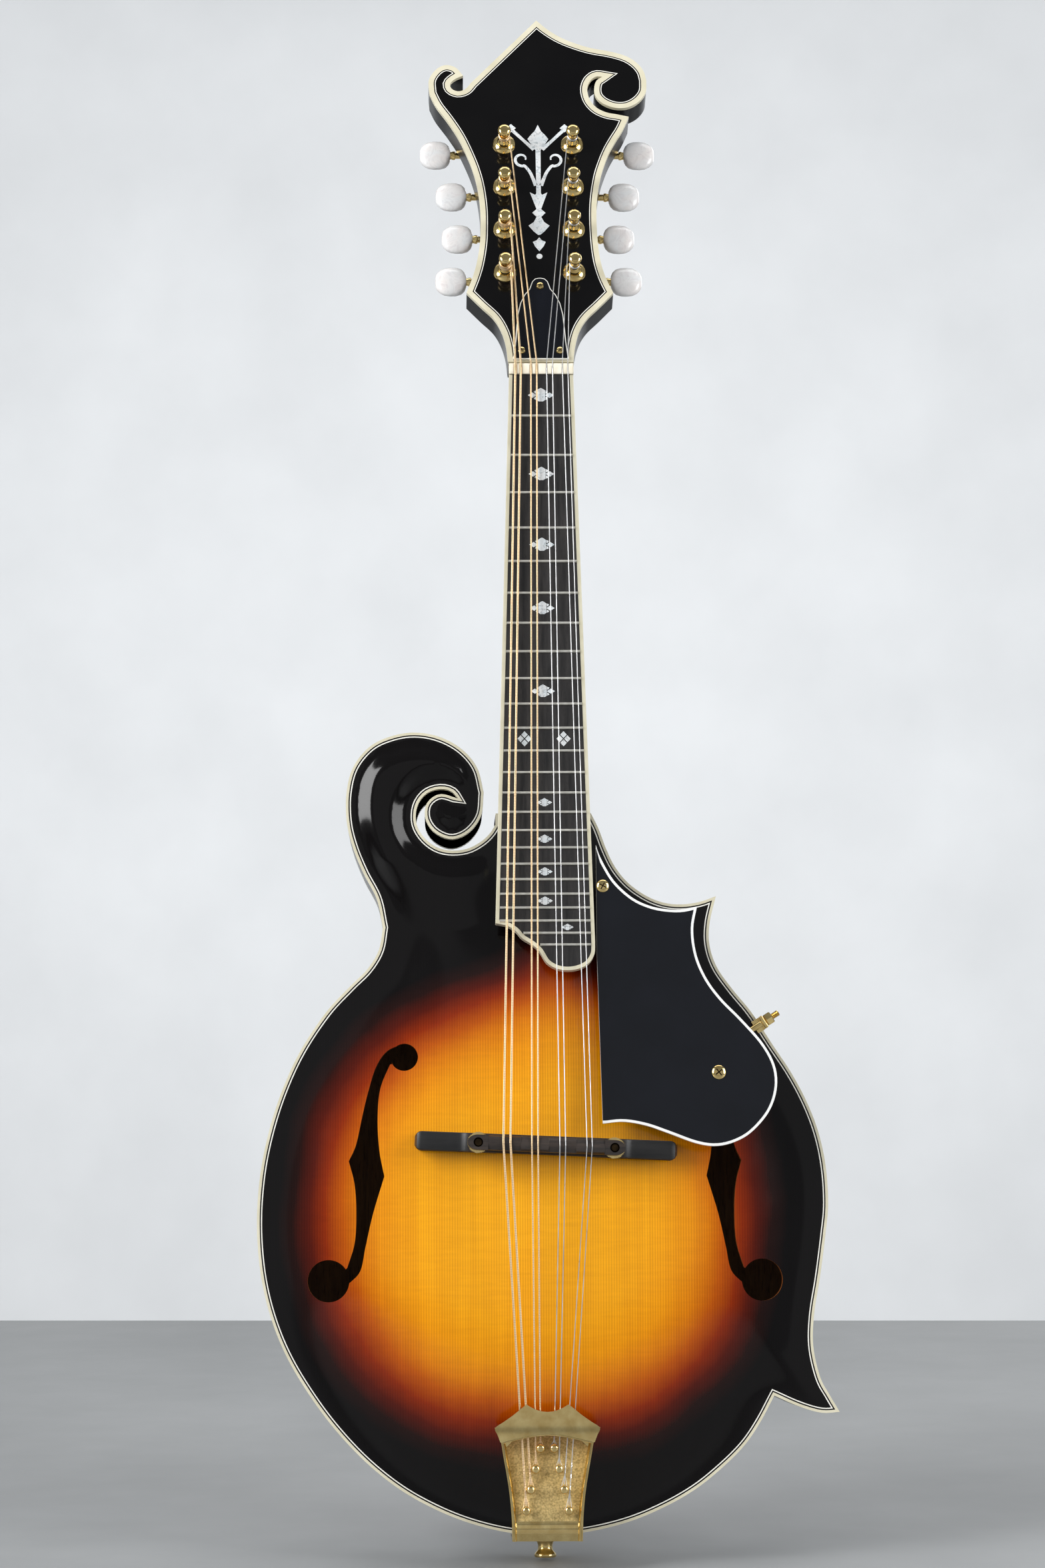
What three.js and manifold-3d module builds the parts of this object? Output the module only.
// F-style mandolin: carved body, pitched neck and headstock, geared tuners, adjustable bridge and
// cast tailpiece. The frame is upright: +Z runs from the tail to the headstock, the face looks
// toward -Y and the treble side is +X. The origin is the centre of the strap button's end face.
import * as THREE from "three";
import { mergeVertices } from "three/addons/utils/BufferGeometryUtils.js";
import Module from "manifold-3d";

const wasm = await Module();
wasm.setup();

// ---------------------------------------------------------------- driving dimensions (mm)
const SCALE = 352.4; // vibrating string length, 13 7/8 in
const NUT_Z = 533.7;
const NUT_Y = -20.3; // playing surface at the nut
const NECK_PITCH = THREE.MathUtils.degToRad(5);
const HEAD_PITCH = THREE.MathUtils.degToRad(17.2);
const RIM_FRONT = -22.5;
const RIM_BACK = 22.5;
const PLATE_EDGE = 4.5; // plate thickness, and the depth of the body binding
const RIM_WALL = 2.4;
const BINDING = 1.6;
const TOP_ARCH = 18;
const BACK_ARCH = 15;
const ARCH_REACH = 38; // distance from the edge at which the arch is half up
const ARCH_POWER = 2.6;
const GAP = 0.1; // between glued faces

const BOARD_THICK = 5;
const BOARD_BINDING = 1.7;
const NUT_HALF = 14.7;
const BOARD_HALF_END = 22.2;
const JOINT_Z = 331.5; // neck joint, at the 15th fret

const HEAD_THICK = 14.5;
const VENEER = 2;
const HEAD_BINDING = 2.5;
const POST_X = 16;
const POST_ROWS = [54.4, 77.6, 100.8, 124];
const POST_RADIUS = 3.1;
const PLATE_METAL = 1.2;
const GEAR_TEETH = 15;
const GEAR_RADIUS = 4.7;
const WORM_RADIUS = 1.9;
const TOOTH = 0.5;
const WORM_OFFSET = GEAR_RADIUS + WORM_RADIUS + 0.35;
const WORM_DEPTH = 20.2; // worm axis behind the headstock face
const LEAD = (2 * Math.PI * GEAR_RADIUS) / GEAR_TEETH;
const BUTTON_REACH = [25, 22, 24.8, 32.3]; // post axis to button centre, row by row

const BRIDGE_Z = NUT_Z - SCALE + 0.3;
const BRIDGE_SLANT = THREE.MathUtils.degToRad(2.5);
const SADDLE_TOP_Y = -54;
const STUD_X = 30;

// x at the nut, at the saddle, at the tail hook, hook height, string radius, tuner row
const STRINGS = [
  { nut: -11.8, saddle: -19, hook: -9.3, hookZ: 22.7, radius: 0.5, row: 0 },
  { nut: -9.3, saddle: -15.9, hook: -7.3, hookZ: 31.8, radius: 0.5, row: 1 },
  { nut: -4.7, saddle: -6.5, hook: -5.1, hookZ: 40.7, radius: 0.36, row: 2 },
  { nut: -2, saddle: -3.8, hook: -3, hookZ: 49.7, radius: 0.36, row: 3 },
  { nut: 2.5, saddle: 5.8, hook: 3, hookZ: 49.7, radius: 0.22, row: 3 },
  { nut: 5.2, saddle: 8.3, hook: 5.1, hookZ: 40.7, radius: 0.22, row: 2 },
  { nut: 9.7, saddle: 17.7, hook: 7.3, hookZ: 31.8, radius: 0.2, row: 1 },
  { nut: 12.2, saddle: 20, hook: 9.3, hookZ: 22.7, radius: 0.2, row: 0 },
];

// ---------------------------------------------------------------- outlines, [x, z]
// Each outline is a ring of smooth runs that meet at corners; every run starts where the last ends.
const BODY_RUNS = [
  { step: 10, at: [[21.5, 331.5], [25, 324.2], [28, 316], [32, 307.5], [38, 300], [46, 294.2],
    [54, 291], [62, 290.2], [70, 291.3], [77.5, 293.9]] },
  { step: 15, at: [[77.5, 293.9], [74.6, 282], [74.4, 272], [77.6, 262], [84.5, 252], [93, 241.5],
    [102, 227.5], [110.5, 214.5], [117.5, 201], [122.6, 187], [125.5, 172], [126.3, 156],
    [125, 143], [122.3, 124], [119.4, 107], [118.9, 93], [121.8, 79.5], [126, 71.5], [130.3, 64.2]] },
  { step: 10, at: [[130.3, 64.2], [122, 63.9], [112, 66.8], [101.3, 71.5]] },
  { step: 15, at: [[101.3, 71.5], [95, 60], [88, 50], [78, 40.2], [66, 30.8], [52, 23], [36, 16.6],
    [18, 12.4], [0, 10.8], [-18, 12.5], [-36, 17.2], [-52, 24], [-66, 32.2], [-80, 43.5],
    [-93, 57.2], [-104, 71.7], [-114, 88], [-121, 104.3], [-125.7, 122], [-127.9, 141],
    [-127.7, 160], [-125, 180], [-119, 202], [-110, 223], [-98, 241.5], [-87, 253.5], [-79, 261.5],
    [-74, 270], [-72.2, 280]] },
  { step: 9, at: [[-72.2, 280], [-75, 293], [-81, 304.7], [-85.8, 316.5], [-88.5, 328],
    [-88.6, 341], [-85.5, 352.8], [-78, 362], [-68.5, 366.6], [-58, 368.3], [-47, 366.4],
    [-37, 361], [-29.8, 352.4], [-26.8, 341]] },
  { step: 5, at: [[-26.8, 341], [-28, 330.5], [-33.6, 322.9], [-41.4, 319.9], [-49, 323],
    [-53.1, 329.2], [-52.4, 336.2], [-46.5, 340.3], [-38.2, 338.2]] },
  { step: 6, at: [[-38.2, 338.2], [-41.5, 341.6], [-46.5, 343], [-52, 341], [-55.8, 337],
    [-57.4, 331.5], [-56.7, 325.5], [-53, 319.9], [-47.5, 316], [-41, 314.7], [-34, 315.6],
    [-28, 318.8], [-24, 322.6], [-21.5, 326.5]] },
  { step: 9, at: [[-21.5, 326.5], [-21.5, 331.5]] },
  { step: 50, at: [[-21.5, 331.5], [21.5, 331.5]] },
];
const HEAD_RUNS = [
  { step: 11, at: [[0, 194], [4.4, 189.6], [9.8, 185.4], [16, 182], [25, 178.6], [35, 176.4],
    [42.5, 173.8], [47.5, 170], [50.6, 165.3], [51.8, 160]] },
  { step: 5, at: [[51.8, 160], [51.3, 153.5], [47.8, 148.2], [42.5, 145], [36.5, 144.8],
    [31, 147.2], [27.6, 151.2], [27, 156], [28.2, 160], [31, 162.2]] },
  { step: 5, at: [[31, 162.2], [27.8, 162.2], [25, 159.6], [23.7, 155], [24.8, 149.3],
    [28, 144.8], [32.5, 142.2], [37.5, 141.1], [43, 139.8]] },
  { step: 11, at: [[43, 139.8], [40, 132.5], [36.7, 126.5], [33.7, 120.5], [31.3, 114], [29.2, 106.7],
    [27.6, 97], [26.9, 88], [26.9, 78], [27.4, 68], [28.6, 59], [30.8, 51], [33.9, 43.5]] },
  { step: 8, at: [[33.9, 43.5], [27.4, 36.2], [21.5, 29.8], [18, 23.5], [16, 16], [15, 8], [15, 6.8]] },
  { step: 50, at: [[15, 6.8], [-15, 6.8]] },
  { step: 8, at: [[-15, 6.8], [-15.2, 8], [-16, 15.5], [-18, 23], [-21.5, 29.8], [-27.4, 36.2],
    [-33.9, 43.5]] },
  { step: 11, at: [[-33.9, 43.5], [-31, 52], [-29, 60], [-27.6, 70], [-27.2, 80], [-27.4, 90],
    [-28.6, 100.5], [-30.6, 109.5], [-33.4, 118], [-37.5, 128], [-42.5, 137], [-48, 145.6],
    [-51, 152.5]] },
  { step: 5, at: [[-51, 152.5], [-51.2, 160], [-48, 165.8], [-43.5, 168.5], [-38.6, 167.2], [-35, 162.6]] },
  { step: 3.5, at: [[-35, 162.6], [-38.6, 160.8], [-41.1, 158.1], [-40.4, 155.2], [-37.4, 153.8],
    [-34, 155], [-31.4, 158.4]] },
  { step: 40, at: [[-31.4, 158.4], [0, 194]] },
];
// pickguard outline in the plane of its face, z below the nut
const GUARD_RUNS = [
  { step: 9, at: [[23, -218.8], [25, -224.5], [29.8, -233.4], [34.6, -239], [40.4, -243.6],
    [47.2, -246.6], [54, -248], [61, -248.2], [67.8, -246.8]] },
  { step: 13, at: [[67.8, -246.8], [66, -257], [67.3, -268.5], [71.5, -279], [78, -288.2], [87.1, -297.7],
    [96.2, -308.4], [101.3, -318.5], [101.9, -328.5], [98.4, -338.5], [91, -347.2], [83.5, -351.8],
    [75, -353.8], [66, -352.6], [54, -348.2], [44, -344.7], [34, -343], [24.9, -343.8]] },
  { step: 80, at: [[24.9, -343.8], [23, -268]] },
  { step: 80, at: [[23, -268], [23, -218.8]] },
];
// end of the playing surface over the body, from the bass side to the treble side
const BOARD_TAIL = [[-22, -254.6], [-16.9, -255.7], [-13, -258.2], [-10.4, -261.2], [-5.8, -264.2],
  [-2.6, -267.2], [0.8, -272.5], [6.2, -275.4], [12.8, -275.6], [18.7, -273.2], [21.8, -268.6],
  [22.2, -263]];
// treble f-hole: the stem's outer and inner edges run from the upper eye to the lower eye
const F_UPPER = { x: 62.6, z: 221.4, radius: 6.1 };
const F_LOWER = { x: 96.2, z: 122.6, radius: 9.3 };
const F_OUTER = [[[62.6, 227.5], [70.2, 224.3], [75.2, 217.2], [78.8, 205.5], [81.3, 195], [84, 182.6],
  [87.2, 175.4]], [[87.2, 175.4], [84.6, 165], [83.8, 152], [84.6, 139], [88.2, 127.3]]];
const F_INNER = [[[86.9, 121.5], [82, 127], [79.7, 137.5], [76.4, 152], [71.4, 168.5]],
  [[71.4, 168.5], [73.6, 180], [74.4, 194], [73.2, 207.5], [68.4, 219.4]]];

// ---------------------------------------------------------------- outline tools
const length2 = (a, b) => Math.hypot(a[0] - b[0], a[1] - b[1]);

function runPoints(at, step) {
  const curve = new THREE.SplineCurve(at.map(([x, z]) => new THREE.Vector2(x, z)));
  const count = Math.max(1, Math.round(curve.getLength() / step));
  return curve.getSpacedPoints(count).map((p) => [p.x, p.y]);
}

function ringOf(runs) {
  return runs.flatMap(({ at, step }) => runPoints(at, step).slice(0, -1));
}

// Moves every side of a ring inward by d and joins the moved sides at mitres.
function inset(ring, d) {
  const turn = THREE.ShapeUtils.isClockWise(ring.map(([x, z]) => new THREE.Vector2(x, z))) ? -1 : 1;
  return ring.map((p, i) => {
    const a = ring[(i + ring.length - 1) % ring.length];
    const b = ring[(i + 1) % ring.length];
    const la = length2(a, p);
    const lb = length2(p, b);
    const na = [(-(p[1] - a[1]) / la) * turn, ((p[0] - a[0]) / la) * turn];
    const nb = [(-(b[1] - p[1]) / lb) * turn, ((b[0] - p[0]) / lb) * turn];
    const k = d / Math.max(0.3, 1 + na[0] * nb[0] + na[1] * nb[1]);
    return [p[0] + (na[0] + nb[0]) * k, p[1] + (na[1] + nb[1]) * k];
  });
}

function isInside(ring, x, z) {
  let odd = false;
  ring.forEach((p, i) => {
    const q = ring[(i + 1) % ring.length];
    if (p[1] > z !== q[1] > z && x < p[0] + ((z - p[1]) / (q[1] - p[1])) * (q[0] - p[0])) odd = !odd;
  });
  return odd;
}

const BODY = ringOf(BODY_RUNS);
const HEAD = ringOf(HEAD_RUNS);

// Smooth distance from the body's edge: it comes from the edge's length seen from the point,
// weighted by the inverse cube of distance, so it has no creases.
function edgeDistance(x, z) {
  let sum = 0;
  BODY.forEach((p, i) => {
    const q = BODY[(i + 1) % BODY.length];
    const side = length2(p, q);
    const parts = Math.ceil(side / 6);
    for (let k = 0; k < parts; k++) {
      const f = (k + 0.5) / parts;
      const r = Math.hypot(p[0] + (q[0] - p[0]) * f - x, p[1] + (q[1] - p[1]) * f - z);
      sum += side / parts / Math.max(r, 2) ** 3;
    }
  });
  return Math.sqrt(2 / sum);
}

function archShape(x, z) {
  const t = (edgeDistance(x, z) / ARCH_REACH) ** ARCH_POWER;
  return t / (1 + t);
}

const topY = (x, z) => RIM_FRONT - TOP_ARCH * archShape(x, z);
const backY = (x, z) => RIM_BACK + BACK_ARCH * archShape(x, z);

// ---------------------------------------------------------------- solid tools
function solidOf(geometry) {
  const g = geometry.clone();
  g.deleteAttribute("normal");
  g.deleteAttribute("uv");
  const merged = mergeVertices(g, 1e-4);
  return new wasm.Manifold(
    new wasm.Mesh({
      numProp: 3,
      vertProperties: new Float32Array(merged.attributes.position.array),
      triVerts: new Uint32Array(merged.index.array),
    }),
  );
}

function geometryOf(solid) {
  const m = solid.getMesh();
  const g = new THREE.BufferGeometry();
  g.setAttribute("position", new THREE.BufferAttribute(new Float32Array(m.vertProperties), 3));
  g.setIndex(new THREE.BufferAttribute(new Uint32Array(m.triVerts), 1));
  g.computeVertexNormals();
  return g;
}

const join = (...geometries) => geometryOf(geometries.map(solidOf).reduce((a, b) => a.add(b)));
const cut = (from, ...tools) =>
  geometryOf(tools.map(solidOf).reduce((a, b) => a.subtract(b), solidOf(from)));

// Flat ring in x and z, extruded from y0 back to y1.
function prism(ring, y0, y1) {
  const shape = new THREE.Shape(ring.map(([x, z]) => new THREE.Vector2(x, z)));
  const g = new THREE.ExtrudeGeometry(shape, { depth: y1 - y0, bevelEnabled: false });
  return g.rotateX(Math.PI / 2).translate(0, y1, 0);
}

// The band between two flat rings, from y0 back to y1.
const band = (ring, hole, y0, y1) => cut(prism(ring, y0, y1), prism(hole, y0 - 1, y1 + 1));

// Cylinder with its axis along y.
function pegY(x, z, radius, y0, y1, sides = 12) {
  return new THREE.CylinderGeometry(radius, radius, y1 - y0, sides).translate(x, (y0 + y1) / 2, z);
}

function box(x0, x1, y0, y1, z0, z1, sx = 1, sy = 1, sz = 1) {
  return new THREE.BoxGeometry(x1 - x0, y1 - y0, z1 - z0, sx, sy, sz).translate(
    (x0 + x1) / 2,
    (y0 + y1) / 2,
    (z0 + z1) / 2,
  );
}

// Closed skin through rings of equal point count; flat ends are fans about their first point.
function loft(rings) {
  const n = rings[0].length;
  const index = [];
  for (let r = 0; r + 1 < rings.length; r++) {
    for (let i = 0; i < n; i++) {
      const a = r * n + i;
      const b = r * n + ((i + 1) % n);
      index.push(a, b, b + n, a, b + n, a + n);
    }
  }
  const last = (rings.length - 1) * n;
  for (let i = 1; i + 1 < n; i++) {
    index.push(0, i + 1, i);
    index.push(last, last + i, last + i + 1);
  }
  const g = new THREE.BufferGeometry();
  g.setAttribute("position", new THREE.Float32BufferAttribute(rings.flat(2), 3));
  g.setIndex(index);
  const made = solidOf(g);
  if (made.volume() < 0) {
    g.setIndex(index.toReversed());
  }
  g.computeVertexNormals();
  return g;
}

// Cuts a ring into well-shaped triangles with extra points on a staggered grid inside it.
function tile(ring, pitch) {
  const points = ring.map(([x, z]) => [x, z]);
  const xs = ring.map((p) => p[0]);
  const zs = ring.map((p) => p[1]);
  let faces = THREE.ShapeUtils.triangulateShape(ring.map(([x, z]) => new THREE.Vector2(x, z)), []);
  const turned = (a, b, c) =>
    (points[b][0] - points[a][0]) * (points[c][1] - points[a][1]) -
    (points[b][1] - points[a][1]) * (points[c][0] - points[a][0]);
  faces = faces.map(([a, b, c]) => (turned(a, b, c) > 0 ? [a, b, c] : [a, c, b]));
  const rowHeight = pitch * 0.866;
  for (let row = 1; Math.min(...zs) + row * rowHeight < Math.max(...zs); row++) {
    const z = Math.min(...zs) + row * rowHeight;
    for (let x = Math.min(...xs) + (row % 2) * pitch * 0.5; x < Math.max(...xs); x += pitch) {
      const nearest = Math.min(...ring.map((p) => length2(p, [x, z])));
      if (!isInside(ring, x, z) || nearest < pitch * 0.55) continue;
      points.push([x, z]);
      const p = points.length - 1;
      const home = faces.findIndex(
        ([a, b, c]) => turned(a, b, p) > 0 && turned(b, c, p) > 0 && turned(c, a, p) > 0);
      if (home < 0) {
        points.pop();
        continue;
      }
      const [a, b, c] = faces[home];
      faces.splice(home, 1, [a, b, p], [b, c, p], [c, a, p]);
    }
  }
  return { points, faces: relax(points, faces, turned) };
}

// Turns the shared side of two triangles wherever the other diagonal makes rounder triangles.
function relax(points, faces, turned) {
  const inCircle = (a, b, c, d) => {
    const m = [a, b, c].map((i) => [points[i][0] - points[d][0], points[i][1] - points[d][1]]);
    const s = m.map(([x, z]) => x * x + z * z);
    return (
      m[0][0] * (m[1][1] * s[2] - m[2][1] * s[1]) -
      m[0][1] * (m[1][0] * s[2] - m[2][0] * s[1]) +
      s[0] * (m[1][0] * m[2][1] - m[2][0] * m[1][1])
    );
  };
  for (let changed = true; changed; ) {
    changed = false;
    const sides = new Map();
    faces.forEach((f, i) => f.forEach((a, k) => sides.set(a + "," + f[(k + 1) % 3], i)));
    const touched = new Set();
    for (const [key, i] of sides) {
      const [a, b] = key.split(",").map(Number);
      const j = sides.get(b + "," + a);
      if (j === undefined || touched.has(i) || touched.has(j)) continue;
      const c = faces[i].find((v) => v !== a && v !== b);
      const d = faces[j].find((v) => v !== a && v !== b);
      if (inCircle(a, b, c, d) < 1e-6 || turned(a, d, c) <= 1e-9 || turned(d, b, c) <= 1e-9) continue;
      faces[i] = [a, d, c];
      faces[j] = [d, b, c];
      touched.add(i).add(j);
      changed = true;
    }
  }
  return faces;
}

// Plate over a ring: its two faces follow front(x, z) and rear(x, z).
function plate(ring, pitch, front, rear) {
  const { points, faces } = tile(ring, pitch);
  const n = points.length;
  const position = [
    ...points.flatMap(([x, z]) => [x, front(x, z), z]),
    ...points.flatMap(([x, z]) => [x, rear(x, z), z]),
  ];
  const index = faces.flatMap(([a, b, c]) => [a, b, c, a + n, c + n, b + n]);
  const ccw = !THREE.ShapeUtils.isClockWise(ring.map(([x, z]) => new THREE.Vector2(x, z)));
  ring.forEach((_, i) => {
    const j = (i + 1) % ring.length;
    index.push(...(ccw ? [i, j + n, j, i, i + n, j + n] : [i, j, j + n, i, j + n, i + n]));
  });
  const g = new THREE.BufferGeometry();
  g.setAttribute("position", new THREE.Float32BufferAttribute(position, 3));
  g.setIndex(index);
  g.computeVertexNormals();
  return g;
}

// ---------------------------------------------------------------- scene graph and finishes
const mandolin = new THREE.Group();
const neckFrame = new THREE.Group();
neckFrame.position.set(0, NUT_Y, NUT_Z);
neckFrame.rotation.x = -NECK_PITCH;
const headFrame = new THREE.Group();
headFrame.position.set(0, NUT_Y + 0.5, NUT_Z);
headFrame.rotation.x = -HEAD_PITCH;
const bridgeFrame = new THREE.Group();
bridgeFrame.position.set(0, 0, BRIDGE_Z);
bridgeFrame.rotation.y = BRIDGE_SLANT;
mandolin.add(neckFrame, headFrame, bridgeFrame);
mandolin.updateMatrixWorld(true);

const finish = (color, roughness, metalness) =>
  new THREE.MeshStandardMaterial({ color, roughness, metalness });
const FINISH = {
  amber: () => finish(0xd98a1e, 0.25, 0),
  black: () => finish(0x141214, 0.2, 0),
  cream: () => finish(0xe9e2c4, 0.35, 0),
  maple: () => finish(0xc99b5e, 0.6, 0),
  spruce: () => finish(0xdcc08c, 0.6, 0),
  ebony: () => finish(0x2a2625, 0.45, 0),
  gold: () => finish(0xc9a75a, 0.25, 1),
  bone: () => finish(0xf0ebdc, 0.4, 0),
  pearl: () => finish(0xe8e8ea, 0.2, 0),
  steel: () => finish(0xb8b8bc, 0.3, 1),
  bronze: () => finish(0xd6a27a, 0.35, 1),
};

function place(parent, name, geometry, material) {
  const mesh = new THREE.Mesh(geometry, material);
  mesh.name = name;
  parent.add(mesh);
}

const worldOf = (frame, geometry) => geometry.clone().applyMatrix4(frame.matrixWorld);
const neckPoint = (x, y, z) => new THREE.Vector3(x, y, z).applyMatrix4(neckFrame.matrixWorld);
const headPoint = (x, y, z) => new THREE.Vector3(x, y, z).applyMatrix4(headFrame.matrixWorld);

// ---------------------------------------------------------------- body
const circle = ({ x, z, radius }, sides) =>
  Array.from({ length: sides }, (_, i) => {
    const a = (2 * Math.PI * i) / sides;
    return [x + radius * Math.cos(a), z + radius * Math.sin(a)];
  });

// One f-hole as a cutter: two round eyes joined by the stem; side is 1 treble, -1 bass.
function fHole(side) {
  const stem = [...F_OUTER, ...F_INNER].flatMap((run) => runPoints(run, 9).slice(0, -1));
  const pieces = [stem, circle(F_UPPER, 14), circle(F_LOWER, 18)].map((ring) =>
    prism(ring.map(([x, z]) => [side * x, z]), -50, 0),
  );
  return join(...pieces);
}

const plateRing = inset(BODY, BINDING);
place(
  mandolin,
  "top_plate",
  cut(plate(plateRing, 18, topY, (x, z) => topY(x, z) + PLATE_EDGE), fHole(1), fHole(-1)),
  FINISH.amber(),
);
const backInner = (x, z) => backY(x, z) - PLATE_EDGE;
place(mandolin, "back_plate", plate(plateRing, 22, backInner, backY), FINISH.black());
place(mandolin, "top_binding", band(BODY, plateRing, RIM_FRONT, RIM_FRONT + PLATE_EDGE), FINISH.cream());
place(mandolin, "back_binding", band(BODY, plateRing, RIM_BACK - PLATE_EDGE, RIM_BACK), FINISH.cream());

const pinHole = new THREE.CylinderGeometry(3.2, 3.2, 60, 12).rotateX(Math.PI / 2).translate(0, 0, 20);
const sides = band(BODY, inset(BODY, RIM_WALL), RIM_FRONT + PLATE_EDGE, RIM_BACK - PLATE_EDGE);
place(mandolin, "rim", cut(sides, pinHole), FINISH.black());

const innerRing = inset(BODY, RIM_WALL + GAP);
const underTop = (x, z) => topY(x, z) + PLATE_EDGE + 0.8;
const overBack = (x, z) => backY(x, z) - PLATE_EDGE - 0.8;
const block = (keep, extra = []) => plate([...innerRing.filter(keep), ...extra], 24, underTop, overBack);
place(mandolin, "head_block", block(([x, z]) => z > 292 && x < 42), FINISH.maple());
place(mandolin, "point_block_upper", block(([x, z]) => x > 60 && z > 264), FINISH.maple());
place(mandolin, "point_block_lower", block(([x, z]) => x > 107 && z < 92), FINISH.maple());
const tailBlock = block(([x, z]) => Math.abs(x) < 24 && z < 60, [[-24, 34], [24, 34]]);
place(mandolin, "tail_block", cut(tailBlock, pinHole), FINISH.maple());

// Tone bar under the top, deepest under the bridge and feathered at both ends.
function toneBar(side) {
  const x0 = (z) => side * (20 + (z - 70) * 0.03);
  const stations = [72, 105, 138, 171, 204, 237, 268];
  const ring = [
    ...stations.map((z) => [x0(z), z]),
    ...stations.toReversed().map((z) => [x0(z) + side * 6, z]),
  ];
  const depth = (z) => 2 + 9 * Math.sin((Math.PI * (z - 66)) / 208);
  return plate(ring, 60, underTop, (x, z) => underTop(x, z) + depth(z));
}
place(mandolin, "tone_bar_bass", toneBar(-1), FINISH.spruce());
place(mandolin, "tone_bar_treble", toneBar(1), FINISH.spruce());

// ---------------------------------------------------------------- neck and headstock
const boardHalf = (z) => NUT_HALF + ((BOARD_HALF_END - NUT_HALF) * -z) / 263;
// distance below the nut, then depth of the section behind the playing surface's underside
const NECK_SECTIONS = [[10.8, 11.5], [4, 14.5], [-20, 15.5], [-70, 17], [-120, 18.5], [-150, 21.5],
  [-168, 27], [-182, 35], [-193, 45], [-206, 56]];
const neckShaft = loft(
  NECK_SECTIONS.map(([z, depth]) =>
    Array.from({ length: 11 }, (_, i) => {
      const a = (Math.PI * i) / 10;
      return [(boardHalf(Math.min(z, 0)) - 0.3) * Math.cos(a), BOARD_THICK + GAP + depth * Math.sin(a), z];
    }),
  ),
);
const postHoles = [-1, 1].flatMap((side) => POST_ROWS.map((z) => pegY(side * POST_X, z, 3.6, -5, 20, 8)));
const rodChannel = box(-3, 3, 4, 13.8, -192, 20);
const rodPocket = box(-5, 5, -4, 13, 9, 30);
const headCore = cut(prism(HEAD, VENEER + GAP, HEAD_THICK), ...postHoles);
const belowJoint = box(-60, 60, -80, 80, 200, JOINT_Z + 0.1);
const neckBody = cut(
  join(worldOf(neckFrame, neckShaft), worldOf(headFrame, headCore)),
  belowJoint,
  worldOf(neckFrame, rodChannel),
  worldOf(neckFrame, rodPocket),
);
place(mandolin, "neck", neckBody, FINISH.black());

const veneerRing = inset(HEAD, HEAD_BINDING);
const pocketInVeneer = box(-5, 5, -4, 6, 7, 28);
place(
  headFrame,
  "head_veneer",
  cut(prism(inset(HEAD, HEAD_BINDING + 0.05), 0, VENEER), pocketInVeneer, ...postHoles),
  FINISH.black(),
);
place(headFrame, "head_binding", band(HEAD, veneerRing, 0, VENEER), FINISH.cream());

// bell-shaped cover: a lobe over the upper screw, widening to the nut
const COVER_SIDE = [[12.8, 7.4], [11.4, 18], [10.6, 30], [8.8, 38], [6, 43], [4.2, 45], [4, 48.6],
  [2.4, 50.3]];
const coverRing = [...COVER_SIDE, ...COVER_SIDE.toReversed().map(([x, z]) => [-x, z])];
place(headFrame, "truss_cover", prism(coverRing, -1.7, -GAP), FINISH.black());
const rodEnd = new THREE.CylinderGeometry(2, 2, 22, 10).rotateX(Math.PI / 2).translate(0, 9.4, 14);
place(neckFrame, "truss_rod", join(box(-2.7, 2.7, 5.3, 13.4, -190, 7), rodEnd), FINISH.steel());
const hexagon = circle({ x: 0, z: 0, radius: 3.6 }, 6);
const nutBore = circle({ x: 0, z: 0, radius: 2.3 }, 8);
place(
  neckFrame,
  "truss_nut",
  band(hexagon, nutBore, 0, 9).rotateX(Math.PI / 2).translate(0, 9.4, 14.5),
  FINISH.gold(),
);

const boardRing = [[-NUT_HALF, 0], ...BOARD_TAIL, [NUT_HALF, 0]];
const boardInner = inset(boardRing, BOARD_BINDING);
const openAtNut = (ring, top) => ring.map(([x, z]) => [x, z > -3 ? top : z]);
place(
  neckFrame,
  "fretboard",
  prism(openAtNut(inset(boardRing, BOARD_BINDING + 0.05), -GAP), 0, BOARD_THICK),
  FINISH.ebony(),
);
place(
  neckFrame,
  "fretboard_binding",
  cut(
    prism(boardRing.map(([x, z]) => [x, z === 0 ? -GAP : z]), 0, BOARD_THICK),
    prism(openAtNut(boardInner, 6), -3, BOARD_THICK + 3),
  ),
  FINISH.cream(),
);
place(neckFrame, "nut", box(-14.8, 14.8, -1.2, BOARD_THICK, GAP, 5.2), FINISH.bone());

// riser that carries the board's end above the body
const underBoard = (x, z) =>
  NUT_Y + (BOARD_THICK + GAP) / Math.cos(NECK_PITCH) + (z - NUT_Z) * Math.tan(NECK_PITCH);
const riserRing = [[-18, 330.5], [-18.6, 306], [-19.5, 284], [-12, 281], [-6, 274.5], [0, 270], [9, 264],
  [16, 266], [19.2, 274], [18.8, 300], [18, 330.5]];
const riserFoot = (x, z) => topY(x, z) - 0.9;
place(mandolin, "board_riser", plate(riserRing, 14, underBoard, riserFoot), FINISH.black());

// ---------------------------------------------------------------- tuners
// Gear outline: one smooth wave of height TOOTH per tooth, a crest pointing at the worm.
const gearRing = Array.from({ length: GEAR_TEETH * 4 }, (_, i) => {
  const a = (2 * Math.PI * i) / (GEAR_TEETH * 4);
  const r = GEAR_RADIUS + TOOTH * Math.cos(GEAR_TEETH * a);
  return [r * Math.sin(a), r * Math.cos(a)];
});

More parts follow.
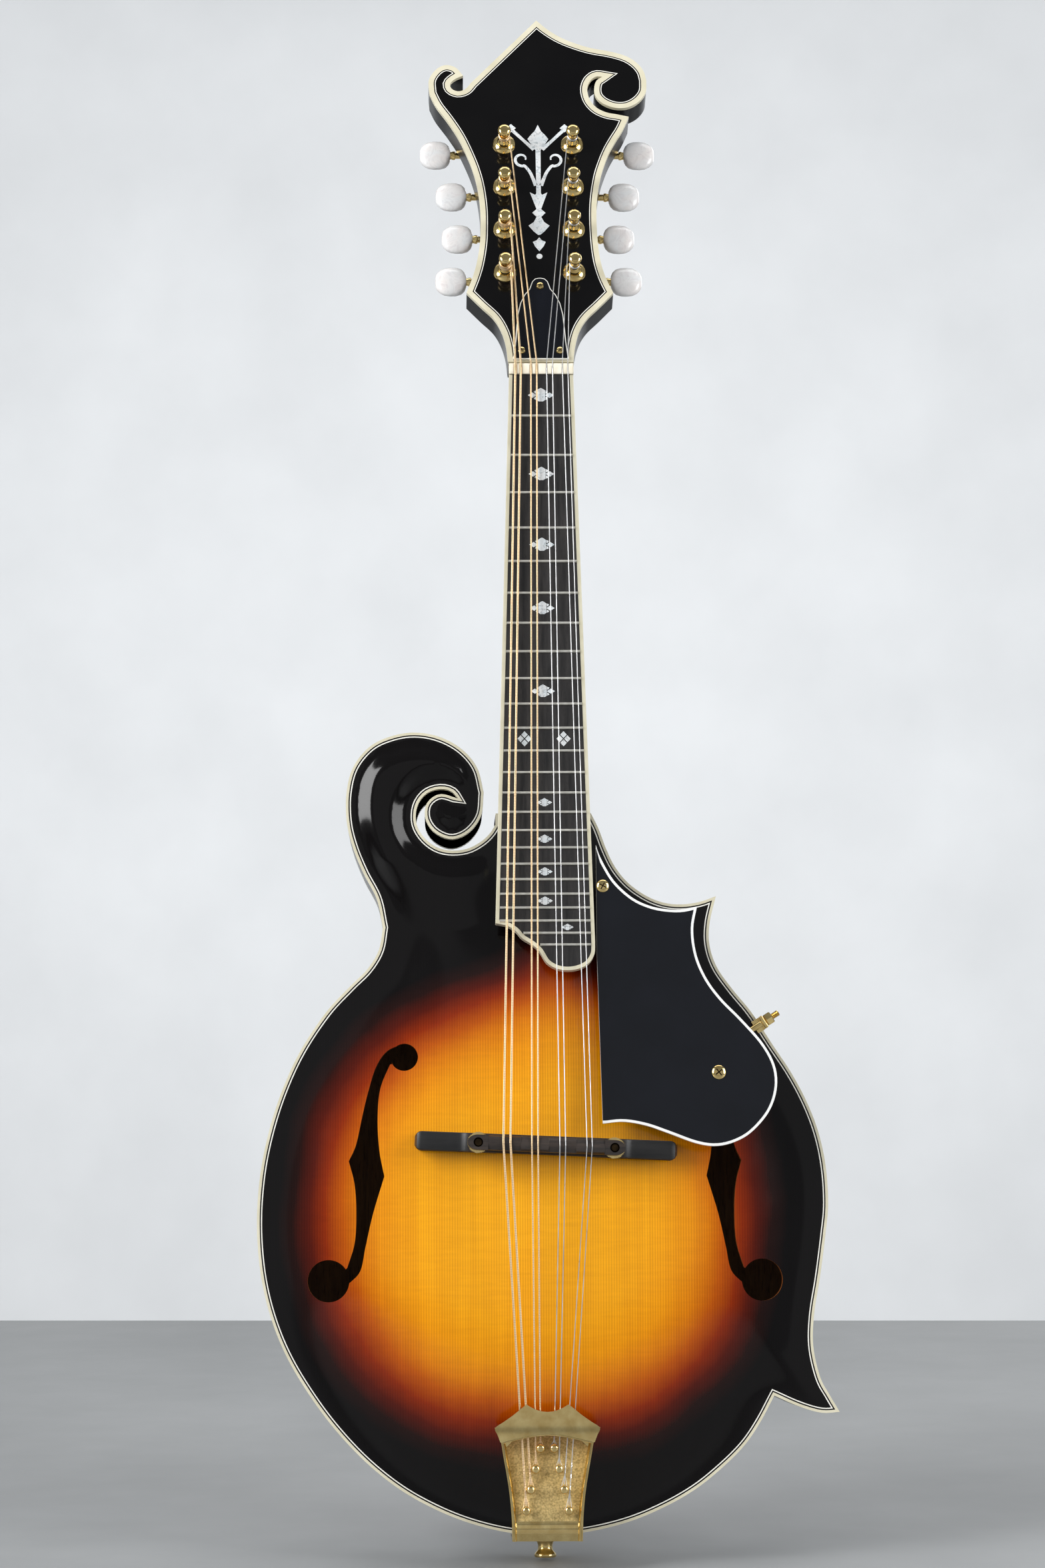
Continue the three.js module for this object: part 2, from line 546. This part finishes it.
function postWithGear() {
  const shaft = new THREE.LatheGeometry(
    [[0, -13.8], [POST_RADIUS, -13.8], [POST_RADIUS, 22], [0, 22]]
      .toReversed()
      .map(([r, y]) => new THREE.Vector2(r, -y)),
    10,
  ).rotateX(Math.PI);
  return join(shaft, prism(gearRing, WORM_DEPTH - 1.3, WORM_DEPTH + 1.3));
}

// Key along +x from the post's axis: bearing, single-start worm, shaft and oval button.
function keyOnShaft(reach) {
  const ring = (t, ry, rz, ey = 0, ez = 0) =>
    Array.from({ length: 8 }, (_, i) => {
      const a = (Math.PI * i) / 4 + Math.PI / 8;
      return [t, ry * Math.cos(a) + ey, rz * Math.sin(a) + ez];
    });
  const worm = Array.from({ length: 9 }, (_, i) => {
    const t = ((i - 4) * LEAD) / 4;
    const phase = (2 * Math.PI * t) / LEAD + Math.PI;
    return ring(t, WORM_RADIUS, WORM_RADIUS, TOOTH * Math.sin(phase), -TOOTH * Math.cos(phase));
  });
  const b = reach - 7.25;
  return loft([
    ring(-6.2, 1.2, 1.2),
    ring(-3.4, 1.2, 1.2),
    ...worm,
    ring(3.4, 1.5, 1.5),
    ring(b, 1.5, 1.5),
    ring(b + 0.1, 2, 3.4),
    ring(b + 2.2, 2.7, 6.6),
    ring(b + 7.4, 3.1, 7.5),
    ring(b + 12, 2.8, 6.2),
    ring(b + 14.5, 1.6, 3),
  ]);
}

for (const side of [-1, 1]) {
  const hand = side < 0 ? "bass" : "treble";
  const strip = [[side * 10.2, 47], [side * 21.5, 47], [side * 21.5, 135.5], [side * 10.2, 135.5]];
  place(
    headFrame,
    "tuner_plate_" + hand,
    cut(prism(strip, HEAD_THICK + GAP, HEAD_THICK + GAP + PLATE_METAL), ...postHoles),
    FINISH.gold(),
  );
  POST_ROWS.forEach((z, row) => {
    const post = new THREE.Group();
    post.position.set(side * POST_X, 0, z);
    headFrame.add(post);
    place(post, `post_${hand}_${row + 1}`, postWithGear(), FINISH.gold());
    const key = new THREE.Group();
    key.position.set(side * POST_X, WORM_DEPTH, z + WORM_OFFSET);
    key.rotation.y = side < 0 ? Math.PI : 0;
    headFrame.add(key);
    const turned = keyOnShaft(BUTTON_REACH[row]);
    if (side < 0) turned.rotateX(Math.PI);
    place(key, `key_${hand}_${row + 1}`, turned, FINISH.pearl());
  });
}

// ---------------------------------------------------------------- bridge
const baseFoot = (x) => topY(x, BRIDGE_Z) - 0.8;
const baseProfile = [[-58, -41.5], [-56.5, -43.4], [-38, -44.6], [-35, -46], [35, -46], [38, -44.6],
  [56.5, -43.4], [58, -41.5], ...[58, 48, 38, 26].map((x) => [x, baseFoot(x)]), [22, -41.6], [-22, -41.6],
  ...[-26, -38, -48, -58].map((x) => [x, baseFoot(x)])];
const studHoles = [-STUD_X, STUD_X].map((x) => pegY(x, 0, 2.25, -56, -30, 10));
const baseShape = new THREE.Shape(baseProfile.map(([x, y]) => new THREE.Vector2(x, y)));
const base = new THREE.ExtrudeGeometry(baseShape, { depth: 8.4, bevelEnabled: false }).translate(0, 0, -4.2);
place(bridgeFrame, "bridge_base", cut(base, ...studHoles), FINISH.ebony());

const saddleEnd = (x, turn) =>
  [-60, -20, 20, 60].map((a) => {
    const r = THREE.MathUtils.degToRad(a + turn);
    return [x + 4.6 * Math.cos(r), 3.3 * Math.sin(r)];
  });
const saddleRing = [...saddleEnd(30.2, 0), ...saddleEnd(-30.2, 180)];
const saddleBody = prism(saddleRing, SADDLE_TOP_Y, -48.9);
place(bridgeFrame, "bridge_saddle", cut(saddleBody, ...studHoles), FINISH.ebony());
for (const side of [-1, 1]) {
  const hand = side < 0 ? "bass" : "treble";
  place(bridgeFrame, "bridge_stud_" + hand, pegY(side * STUD_X, 0, 1.9, -52.6, -41, 10), FINISH.gold());
  const rim = circle({ x: side * STUD_X, z: 0, radius: 4.7 }, 20);
  const bore = circle({ x: side * STUD_X, z: 0, radius: 2.25 }, 10);
  place(bridgeFrame, "thumbwheel_" + hand, band(rim, bore, -48.7, -47.2), FINISH.gold());
}

// ---------------------------------------------------------------- tailpiece and strap button
const TAIL_BACK = -37.2;
const TAIL_FRONT = -38.8;
const CREST_LIP_Z = 61; // where the strings bend under the crest
const TAIL_EDGE = [[15.4, 9.2], [15.7, 20], [16.6, 30], [17.8, 38], [19.2, 46], [20.4, 53], [22.4, 58]];
const mirrorRing = (half) => [...half, ...half.toReversed().map(([x, z]) => [-x, z])];
const tray = prism(mirrorRing(TAIL_EDGE), TAIL_FRONT, TAIL_BACK);
const wallHalf = (side) =>
  prism(
    [...TAIL_EDGE, ...TAIL_EDGE.toReversed().map(([x, z]) => [x - 1.5, z])].map(([x, z]) => [side * x, z]),
    TAIL_FRONT - 2.6,
    TAIL_BACK - 0.4,
  );
const crest = prism(
  mirrorRing([[20.6, 52.4], [22.9, 58.6], [15, 64.2], [9.2, 68.8], [0.6, 65.8]]),
  TAIL_FRONT - 8.4,
  TAIL_FRONT - 6.4,
);
const LEG = [[19, 52.6], [20.8, 52.6], [22.6, 58.4], [20, 60.2]];
const crestLegs = [-1, 1].map((side) =>
  prism(LEG.map(([x, z]) => [side * x, z]), TAIL_FRONT - 7, TAIL_BACK - 0.4),
);
const hooks = STRINGS.map(({ hook, hookZ }) =>
  pegY(hook * 0.92, hookZ - 2, 1.5, TAIL_FRONT - 4.4, TAIL_BACK - 0.4, 8),
);
const fold = cut(box(-15.4, 15.4, TAIL_FRONT, 9.5, 9.2, 10.6), pinHole);
const tailpiece = join(tray, wallHalf(1), wallHalf(-1), crest, ...crestLegs, ...hooks, fold);
place(mandolin, "tailpiece", tailpiece, FINISH.gold());

const buttonProfile = [[0, 0], [4.4, 0], [4.9, 0.7], [4.9, 1.6], [3.4, 3.4], [3.2, 5.6], [5.2, 8.2],
  [5.2, 9],
  [2.8, 9], [2.8, 30], [0, 31]];
place(
  mandolin,
  "strap_button",
  new THREE.LatheGeometry(buttonProfile.map(([r, z]) => new THREE.Vector2(r, z)), 16).rotateX(Math.PI / 2),
  FINISH.gold(),
);

// ---------------------------------------------------------------- pickguard and its clamp
place(neckFrame, "pickguard", prism(ringOf(GUARD_RUNS), 2, 4), FINISH.black());
const clampFrame = new THREE.Group();
clampFrame.position.set(96.6, 0, 236);
clampFrame.rotation.y = -THREE.MathUtils.degToRad(32.7);
mandolin.add(clampFrame);
const alongX = (radius, x0, x1, y, sidesCount = 10) =>
  new THREE.CylinderGeometry(radius, radius, x1 - x0, sidesCount)
    .rotateZ(Math.PI / 2)
    .translate((x0 + x1) / 2, y, 0);
const ROD_Y = -27.4;
const clamp = join(
  box(0.6, 2.2, ROD_Y - 3, 24.8, -3, 3),
  box(-3, 2, -24.4, -23, -3, 3),
  box(-3, 2, 23.2, 24.8, -3, 3),
);
place(clampFrame, "guard_clamp", cut(clamp, alongX(1.8, -1, 4, ROD_Y)), FINISH.gold());
const guardPost = pegY(-14, 0, 1.6, -41.6, ROD_Y + 1, 10);
place(clampFrame, "guard_rod", join(alongX(1.4, -15, 9.5, ROD_Y), guardPost), FINISH.gold());
place(
  clampFrame,
  "guard_nut",
  cut(alongX(3, 2.5, 6, ROD_Y, 6), alongX(1.75, 2, 7, ROD_Y)),
  FINISH.gold(),
);

// ---------------------------------------------------------------- strings
// Taut string through points, as six-sided rings square to its direction.
function stringAlong(points, radius) {
  const rings = points.map((p, i) => {
    const before = points[Math.max(i - 1, 0)];
    const after = points[Math.min(i + 1, points.length - 1)];
    const t = after.clone().sub(before).normalize();
    const u = new THREE.Vector3(1, 0, 0).addScaledVector(t, -t.x).normalize();
    const v = t.clone().cross(u);
    return Array.from({ length: 6 }, (_, k) => {
      const a = (Math.PI * k) / 3;
      const across = p.clone().addScaledVector(u, radius * Math.cos(a));
      return across.addScaledVector(v, radius * Math.sin(a)).toArray();
    });
  });
  return loft(rings);
}

STRINGS.forEach((s, i) => {
  const side = s.nut < 0 ? -1 : 1;
  const saddleZ = BRIDGE_Z - s.saddle * Math.sin(BRIDGE_SLANT);
  const lip = (CREST_LIP_Z - s.hookZ) / (saddleZ - s.hookZ);
  const points = [
    new THREE.Vector3(s.hook, TAIL_FRONT - 2.6, s.hookZ + 1.5),
    new THREE.Vector3(THREE.MathUtils.lerp(s.hook, s.saddle, lip), TAIL_FRONT - 4, CREST_LIP_Z),
    new THREE.Vector3(s.saddle, SADDLE_TOP_Y - s.radius - 0.4, saddleZ),
    neckPoint(s.nut, -1.4 - s.radius, 5.4),
    headPoint(side * (POST_X - 3.1 - s.radius), -7.2, POST_ROWS[s.row] - 1),
  ];
  const wound = i < 4;
  const wire = wound ? FINISH.bronze() : FINISH.steel();
  place(mandolin, "string_" + (i + 1), stringAlong(points, s.radius), wire);
});

export default mandolin;
